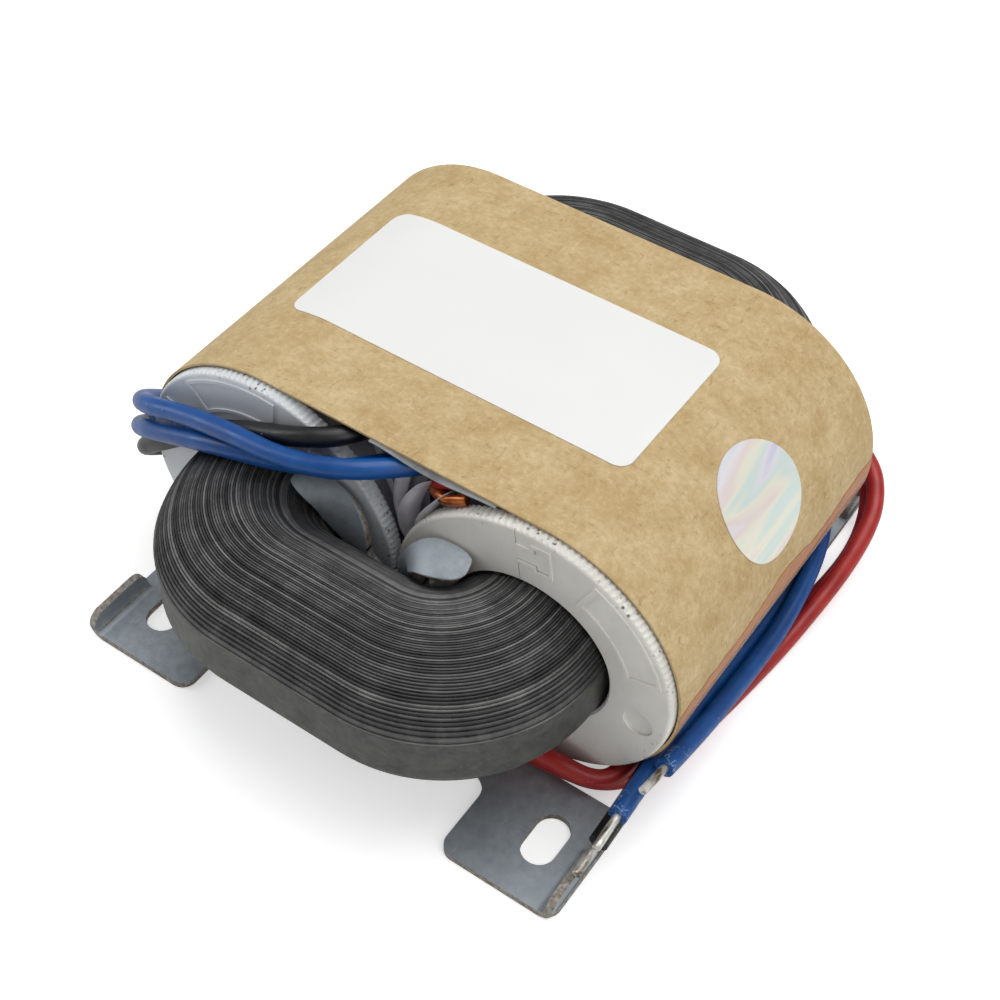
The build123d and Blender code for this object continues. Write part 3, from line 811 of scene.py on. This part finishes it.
# Control points of each lead, on or close to those of the CAD part.
lead_routes = {
    "blue_lead_1": [
        (5.5, -13.0, 35.5), (3.4, -18.0, 36.5), (0.0, -22.8, 37.4), (-5.0, -27.3, 37.8),
        (-12.5, -28.9, 36.6), (-20.8, -28.2, 35.2), (-28.8, -27.2, 32.6), (-36.6, -26.8, 29.6),
        (-41.0, -23.4, 25.5), (-42.0, -17.0, 19.5), (-41.5, -9.0, 13.4), (-40.2, 0.0, 8.4),
        (-38.6, 10.0, 5.8), (-36.8, 19.5, 5.4), (-34.0, 28.0, 5.2), (-28.6, 36.8, 4.8),
        (-19.8, 41.6, 3.9), (-8.0, 43.0, 3.0), (4.5, 43.0, 3.0), (16.0, 41.3, 3.6),
        (26.0, 38.6, 4.8), (32.4, 32.8, 5.3), (35.4, 26.0, 5.4), (37.2, 20.0, 5.6),
        (38.2, 13.8, 5.4), (38.8, 7.0, 5.0), (38.9, 0.0, 5.4), (39.0, -8.0, 6.8),
        (39.1, -15.6, 8.5), (38.8, -23.2, 10.3),
    ],
    "blue_lead_2": [
        (1.5, -12.0, 30.5), (0.0, -17.0, 33.5), (-2.8, -21.7, 35.5), (-6.0, -25.8, 35.8),
        (-11.0, -26.4, 34.2), (-16.6, -27.5, 32.9), (-23.0, -28.4, 31.9), (-30.0, -28.2, 29.2),
        (-37.0, -27.3, 25.5), (-41.4, -24.2, 21.3), (-41.0, -17.0, 15.5), (-39.6, -9.5, 10.0),
        (-37.6, -1.0, 5.6), (-35.9, 8.0, 3.1), (-35.3, 18.0, 2.5), (-33.9, 28.4, 2.5),
        (-26.6, 35.6, 2.5), (-16.5, 38.8, 2.5), (-4.5, 40.4, 2.5), (7.5, 40.3, 2.5),
        (18.2, 38.4, 2.5), (27.6, 35.2, 2.5), (34.0, 28.2, 2.7), (35.9, 18.8, 3.0),
        (36.4, 9.6, 3.6), (36.4, 0.8, 4.6), (36.5, -7.5, 6.0), (36.8, -15.4, 7.3),
        (36.8, -23.0, 7.8), (37.1, -30.6, 7.8),
    ],
    "black_lead": [
        (-5.5, -13.0, 35.5), (-6.4, -18.5, 36.9), (-7.8, -23.4, 38.2), (-12.2, -26.2, 37.9),
        (-19.8, -25.6, 34.0), (-27.5, -25.6, 29.5), (-34.6, -26.2, 23.8), (-40.8, -25.6, 18.3),
        (-40.4, -18.2, 12.8), (-37.5, -9.8, 7.8), (-34.8, -1.0, 4.0), (-33.0, 8.0, 2.2),
        (-32.2, 16.5, 1.9), (-31.4, 26.6, 2.5), (-25.4, 32.6, 2.5), (-15.0, 36.0, 2.5),
        (-4.0, 37.7, 2.5), (7.0, 37.5, 2.5), (17.0, 35.7, 2.5), (26.2, 32.4, 2.5),
        (31.4, 26.7, 2.4), (31.8, 17.4, 1.9), (32.1, 9.0, 1.8), (32.8, 0.5, 2.5),
        (34.0, -7.7, 4.2), (35.3, -16.0, 5.1), (36.3, -24.6, 5.2), (36.5, -33.5, 5.2),
    ],
    "red_lead_1": [
        (2.6, -20.0, 4.1), (6.8, -24.9, 3.0), (12.2, -27.0, 2.7), (18.8, -26.5, 2.5),
        (25.5, -25.9, 2.4), (31.9, -24.2, 1.4), (36.2, -17.4, 1.3), (37.4, -8.8, 1.3),
        (38.6, 0.0, 1.3), (39.5, 7.4, 1.6), (40.2, 13.4, 2.9), (40.7, 18.8, 3.9),
        (40.7, 24.3, 4.1), (40.4, 29.4, 4.7), (39.6, 33.4, 6.2), (37.2, 37.1, 8.1),
        (32.6, 40.6, 8.1), (26.6, 44.2, 6.6), (20.4, 47.2, 4.6), (13.6, 49.8, 2.4),
    ],
    "red_lead_2": [
        (-2.6, -20.0, 4.2), (3.0, -24.6, 5.3), (9.5, -27.2, 5.6), (17.0, -27.3, 5.1),
        (25.0, -26.9, 4.9), (32.3, -25.7, 3.5), (33.5, -20.6, 4.3), (33.0, -14.6, 1.9),
        (34.7, -7.2, 1.3), (35.9, 0.4, 1.3), (36.8, 8.0, 1.3), (38.7, 14.2, 1.3),
        (39.6, 20.4, 1.3), (39.9, 26.4, 1.4), (39.4, 31.4, 2.2), (38.3, 34.9, 4.2),
        (36.0, 38.0, 5.7), (30.8, 41.8, 5.0), (25.0, 45.0, 2.9), (19.0, 46.8, 1.5),
        (12.8, 47.4, 1.3),
    ],
}

# Length of each lead's tube in the CAD part, without its stripped end.
lead_lengths = {
    "blue_lead_1": 248.2,
    "blue_lead_2": 248.0,
    "black_lead": 236.1,
    "red_lead_1": 124.3,
    "red_lead_2": 129.8,
}


def leads():
    for name, length in lead_lengths.items():
        piece, strands = lead(name, name.split("_")[0])


# ---------------------------------------------------------------- brackets

# Rows across an ear, from its root to its tip: a point on the edge towards the coils, then
# one on the edge towards the yoke. The left ear, in front of its bracket, has the wider plate.
left_ear_rows = [
    ((2.4, -26.25, 24.0), (6.1, -26.25, 24.0)),
    ((2.4, -26.2, 26.0), (7.6, -26.4, 25.3)),
    ((2.7, -26.1, 28.0), (8.8, -26.8, 26.9)),
    ((3.8, -25.6, 30.2), (9.2, -27.2, 28.4)),
    ((5.8, -24.9, 31.6), (9.9, -27.6, 29.4)),
    ((8.5, -24.5, 32.0), (11.0, -27.6, 30.0)),
    ((10.9, -24.5, 31.8), (12.4, -27.3, 30.5)),
    ((12.4, -24.9, 31.5), (13.2, -26.8, 30.7)),
]
right_ear_rows = [
    ((2.4, -26.25, 24.0), (6.1, -26.25, 24.0)),
    ((2.5, -26.2, 26.0), (5.6, -27.1, 25.4)),
    ((3.0, -26.1, 28.0), (4.9, -28.1, 27.0)),
    ((4.2, -25.7, 30.1), (5.6, -28.5, 28.6)),
    ((6.0, -24.8, 31.6), (7.8, -29.1, 29.9)),
    ((8.6, -24.4, 32.0), (10.0, -28.7, 30.4)),
    ((10.9, -24.4, 31.8), (11.7, -27.9, 30.5)),
    ((12.1, -24.9, 31.5), (12.4, -26.7, 30.8)),
]
ear_foot_z = 24.35          # where the ears are cut off the CAD bracket
ear_crown = 0.15            # rise of an ear's middle above its edges
ear_columns = 4
sheet = 1.0
edge_factor = 1.7           # metal deeper than this many sheets is seen edge-on
ray_start = 0.02            # below the face that it leaves
tiny = 0.001


def bracket_ear(name, side, end):
    """One ear of sheet metal; side is -1 or 1 in X, end is 1 for the front and -1 for the rear."""
    rows = right_ear_rows if side * end > 0 else left_ear_rows
    across = ear_columns
    vertices = []
    for index, (back_edge, front_edge) in enumerate(rows):
        crown = ear_crown if index > 2 else 0.0
        for step in range(across + 1):
            share = step / across
            x, y, z = Vector(back_edge).lerp(Vector(front_edge), share)
            z += crown * (1 - (2 * share - 1) ** 2)
            vertices.append((side * x, end * y, z))
    faces = []
    for row in range(len(rows) - 1):
        for step in range(across):
            first = row * (across + 1) + step
            face = (first, first + 1, first + across + 2, first + across + 1)
            faces.append(face if side * end > 0 else face[::-1])
    piece = add_mesh(name, vertices, faces, "zinc")
    piece.data.materials.append(materials["sheared"])
    smooth = piece.modifiers.new("smooth", "SUBSURF")
    smooth.levels = smooth.render_levels = 3
    solid = piece.modifiers.new("thickness", "SOLIDIFY")
    solid.thickness = sheet * MM
    solid.offset = -1
    solid.material_offset_rim = 1
    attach(piece, "root")


def mark_sheared_edges(mesh):
    """Give the torn-edge material to faces with much more than one sheet of metal behind them."""
    tree = BVHTree.FromPolygons(
        [vertex.co for vertex in mesh.vertices],
        [tuple(polygon.vertices) for polygon in mesh.polygons],
    )
    for polygon in mesh.polygons:
        start = polygon.center - polygon.normal * (ray_start * MM)
        distance = tree.ray_cast(start, -polygon.normal)[3]
        if distance is not None and distance > edge_factor * sheet * MM:
            polygon.material_index = 1


def bracket(name, end):
    """The CAD bracket with its ears taken off, and rounder ears in their place."""
    source = nodes[name]
    mesh = source.data.copy()
    mesh.materials.clear()
    mesh.materials.append(materials["zinc"])
    mesh.materials.append(materials["sheared"])
    mesh.polygons.foreach_set("material_index", [0] * len(mesh.polygons))
    mark_sheared_edges(mesh)
    build = bmesh.new()
    build.from_mesh(mesh)
    place = source.matrix_world
    cut_height = (ear_foot_z + tiny) * MM
    ears = [face for face in build.faces if (place @ face.calc_center_median()).z > cut_height]
    bmesh.ops.delete(build, geom=ears, context="FACES")
    build.to_mesh(mesh)
    build.free()
    piece = bpy.data.objects.new(name + "_sheet", mesh)
    piece.matrix_world = place
    bpy.context.scene.collection.objects.link(piece)
    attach(piece, "root")
    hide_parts(name)
    for side, word in ((-1, "left"), (1, "right")):
        bracket_ear(f"{name}_{word}_ear", side, end)


# ---------------------------------------------------------------- CAD nodes that keep their shape

def dress_cad_nodes():
    for side, shade in (("left", "cool_nylon"), ("right", "warm_nylon")):
        paint(nodes[side + "_bobbin_half_a"], shade)
        paint(nodes[side + "_bobbin_half_b"], shade)
        paint(nodes[side + "_primary_winding"], "copper")
        paint(nodes[side + "_secondary_winding"], "copper")
        paint(nodes[side + "_interlayer_insulation"], "film")
        paint(nodes[side + "_coil_wrap"], "film")


# ---------------------------------------------------------------- floor, light and camera

floor_half = 3              # metres
floor_drop = 0.05           # millimetres under the feet
floor_glow = 0.45
world_light = 0.35          # strength on the object; the camera sees 1


def floor():
    """White floor that glows for the camera alone, so that it keeps the object's shadow."""
    half = floor_half
    mesh = bpy.data.meshes.new("floor")
    corners = [(-half, -half, 0), (half, -half, 0), (half, half, 0), (-half, half, 0)]
    mesh.from_pydata(corners, [], [(0, 1, 2, 3)])
    piece = bpy.data.objects.new("floor", mesh)
    bpy.context.scene.collection.objects.link(piece)
    piece.location.z = -floor_drop * MM
    material = bpy.data.materials.new("floor_white")
    material.use_nodes = True
    tree = material.node_tree
    bsdf = tree.nodes["Principled BSDF"]
    bsdf.inputs["Base Color"].default_value = (0.9, 0.9, 0.9, 1)
    bsdf.inputs["Roughness"].default_value = 0.9
    bsdf.inputs["Specular IOR Level"].default_value = 0.1
    bsdf.inputs["Emission Color"].default_value = (1, 1, 1, 1)
    path = tree.nodes.new("ShaderNodeLightPath")
    seen = tree.nodes.new("ShaderNodeMath")
    seen.operation = "MULTIPLY"
    seen.inputs[1].default_value = floor_glow
    tree.links.new(path.outputs["Is Camera Ray"], seen.inputs[0])
    tree.links.new(seen.outputs["Value"], bsdf.inputs["Emission Strength"])
    mesh.materials.append(material)


def area_light(name, location, size, energy, target=(0, 0, 0.02)):
    data = bpy.data.lights.new(name, "AREA")
    data.shape = "RECTANGLE"
    data.size, data.size_y = size
    data.energy = energy
    lamp = bpy.data.objects.new(name, data)
    lamp.location = location
    heading = Vector(target) - Vector(location)
    lamp.rotation_euler = heading.to_track_quat("-Z", "Y").to_euler()
    bpy.context.scene.collection.objects.link(lamp)


def lights():
    area_light("key_softbox", (0.1, 0.2, 0.9), (0.9, 0.7), 5.5)
    area_light("left_strip", (-0.8, -0.3, 0.45), (0.25, 0.8), 2.2)
    area_light("right_strip", (0.75, -0.2, 0.4), (0.25, 0.8), 1.4)


def studio_world():
    """White surroundings, dimmer for the light that falls on the object."""
    world = bpy.data.worlds.new("studio")
    world.use_nodes = True
    tree = world.node_tree
    background = tree.nodes["Background"]
    background.inputs["Color"].default_value = (1, 1, 1, 1)
    path = tree.nodes.new("ShaderNodeLightPath")
    strength = tree.nodes.new("ShaderNodeMapRange")
    strength.inputs["To Min"].default_value = world_light
    strength.inputs["To Max"].default_value = 1.0
    direct = tree.nodes.new("ShaderNodeMath")
    direct.operation = "MAXIMUM"
    tree.links.new(path.outputs["Is Camera Ray"], direct.inputs[0])
    tree.links.new(path.outputs["Is Transmission Ray"], direct.inputs[1])
    tree.links.new(direct.outputs["Value"], strength.inputs["Value"])
    tree.links.new(strength.outputs["Result"], background.inputs["Strength"])
    bpy.context.scene.world = world


# The photo's camera, in millimetres.
camera_position = (79.53, -124.09, 175.10)
camera_right = (0.82052, 0.57132, 0.01837)
camera_up = (-0.44063, 0.61171, 0.65701)
camera_forward = (-0.36412, 0.54719, -0.75366)
camera_lens = 59.366
camera_shift_x = 0.0154
camera_shift_y = 0.0252


def camera():
    data = bpy.data.cameras.new("camera")
    data.sensor_width = 36
    data.lens = camera_lens
    data.shift_x = camera_shift_x
    data.shift_y = camera_shift_y
    data.clip_start = 0.01
    view = bpy.data.objects.new("camera", data)
    columns = [Vector(camera_right), Vector(camera_up), -Vector(camera_forward)]
    turn = Matrix([[column[row] for column in columns] for row in range(3)])
    view.matrix_world = Matrix.Translation(Vector(camera_position) * MM) @ turn.to_4x4()
    bpy.context.scene.collection.objects.link(view)
    bpy.context.scene.camera = view
    bpy.context.scene.view_settings.view_transform = "Standard"


wound_core()
paper_sleeve()
rating_label()
inspection_sticker()
seam_tape()
valley_insulation()
insulation_card()
leads()
bracket("front_bracket", 1)
bracket("rear_bracket", -1)
dress_cad_nodes()
floor()
lights()
studio_world()
camera()
